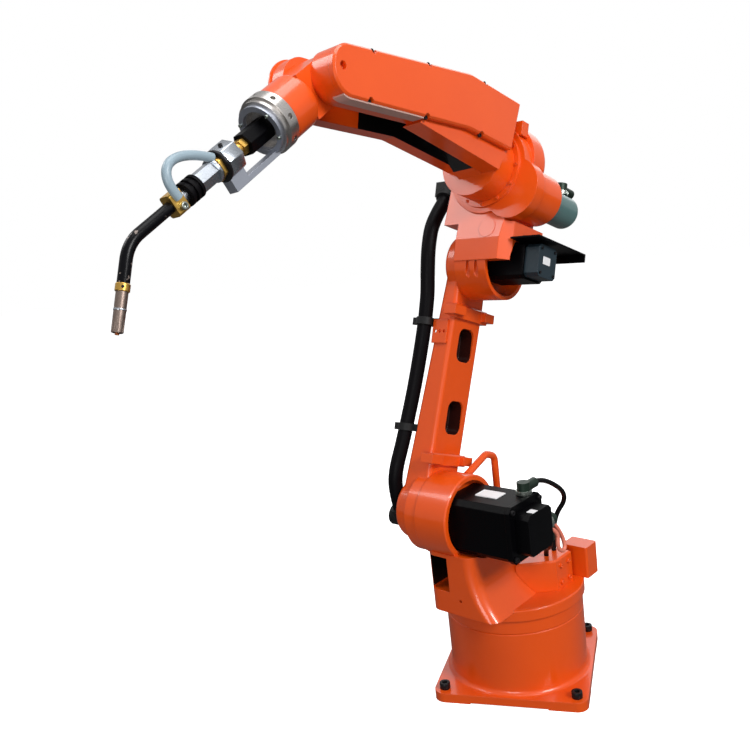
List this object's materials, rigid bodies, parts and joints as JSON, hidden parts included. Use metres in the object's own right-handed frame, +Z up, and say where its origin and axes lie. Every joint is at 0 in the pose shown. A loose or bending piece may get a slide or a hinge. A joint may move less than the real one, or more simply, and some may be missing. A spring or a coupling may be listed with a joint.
{
  "type": "industrial robot arm",
  "caption": "Floor-mounted industrial welding robot arm: swivelling turret, leaning lower arm, lifting and rolling forearm, tilting wrist and a turning flange that carries a swan-neck torch.",
  "frame": {"origin": "centre of the base plate's underside, where it is bolted to the floor", "axes": "+Z up along the swing axis, X and Y along the sides of the base plate; the arm is stored as pictured, swung 65.6 degrees from +X towards +Y"},
  "size_m": [0.6127, 1.1758, 1.4994],
  "materials": {
    "orange_enamel": "gloss",
    "black_paint": "satin",
    "slate_paint": "satin",
    "black_plastic": "matte",
    "black_rubber": "satin",
    "gloss_sleeve": "gloss",
    "grey_hose": "satin",
    "pale_gasket": "matte",
    "machined_aluminium": "machined",
    "plated_steel": "satin",
    "brass": "satin"
  },
  "bodies": {
    "base": {"base_casting": "orange_enamel"},
    "turret": {"turret_casting": "orange_enamel", "lifting_hoop": "orange_enamel", "shoulder_motor": "black_paint", "shoulder_encoder": "slate_paint", "shoulder_connectors": "black_plastic", "motor_cables": "black_rubber", "junction_block": "orange_enamel", "connector_box": "orange_enamel"},
    "lower_arm": {"lower_arm_casting": "orange_enamel", "arm_bracket_plate": "orange_enamel", "hose_lower": "black_rubber", "hose_upper": "black_rubber", "hose_fitting": "black_plastic", "hose_clip_lower": "black_plastic", "hose_clip_upper": "black_plastic"},
    "elbow": {"elbow_casting": "orange_enamel", "inspection_cap": "orange_enamel", "elbow_motor": "black_paint", "elbow_encoder": "slate_paint", "motor_shield": "black_paint", "roll_motor": "slate_paint", "roll_connector": "black_plastic", "hose_gland": "orange_enamel"},
    "forearm": {"forearm_casting": "orange_enamel", "belt_cover": "orange_enamel", "cover_gasket": "pale_gasket", "far_cap": "orange_enamel"},
    "wrist": {"wrist_casting": "orange_enamel"},
    "tool": {"tool_flange": "machined_aluminium", "torch_plate": "machined_aluminium", "torch_body": "black_paint", "torch_nuts": "brass", "clamp_ring": "machined_aluminium", "torch_bracket": "machined_aluminium", "torch_barrel": "plated_steel", "barrel_collar": "black_plastic", "gas_hose": "grey_hose", "neck_clamp": "brass", "gooseneck": "gloss_sleeve", "nozzle_collar": "brass", "nozzle": "plated_steel", "contact_tip": "brass"}
  },
  "joints": [
    {"name": "base_swing", "type": "hinge", "parent": "base", "child": "turret", "pos_m": [0, 0, 0.183], "axis": [0, 0, 1], "range_deg": [-140.6, 189.4]},
    {"name": "shoulder_lean", "type": "hinge", "parent": "turret", "child": "lower_arm", "pos_m": [0.06073, 0.13387, 0.463], "axis": [-0.9107, 0.4131, 0], "range_deg": [-50.1, 109.9]},
    {"name": "elbow_lift", "type": "hinge", "parent": "lower_arm", "child": "elbow", "pos_m": [-0.02477, -0.0546, 1.03469], "axis": [0.9107, -0.4131, 0], "range_deg": [-59, 81], "deforming": ["hose_upper"]},
    {"name": "forearm_roll", "type": "hinge", "parent": "elbow", "child": "forearm", "pos_m": [-0.05313, -0.11713, 1.23527], "axis": [0.3908, 0.8616, 0.3239], "range_deg": [-154.1, 145.9]},
    {"name": "wrist_pitch", "type": "hinge", "parent": "forearm", "child": "wrist", "pos_m": [0.19739, 0.43514, 1.4429], "axis": [0.9179, -0.391, -0.0676], "range_deg": [-63, 137]},
    {"name": "tool_turn", "type": "hinge", "parent": "wrist", "child": "tool", "pos_m": [0.2531, 0.58023, 1.36031], "axis": [0.3165, 0.8244, -0.4692], "range_deg": [-360, 360]}
  ]
}
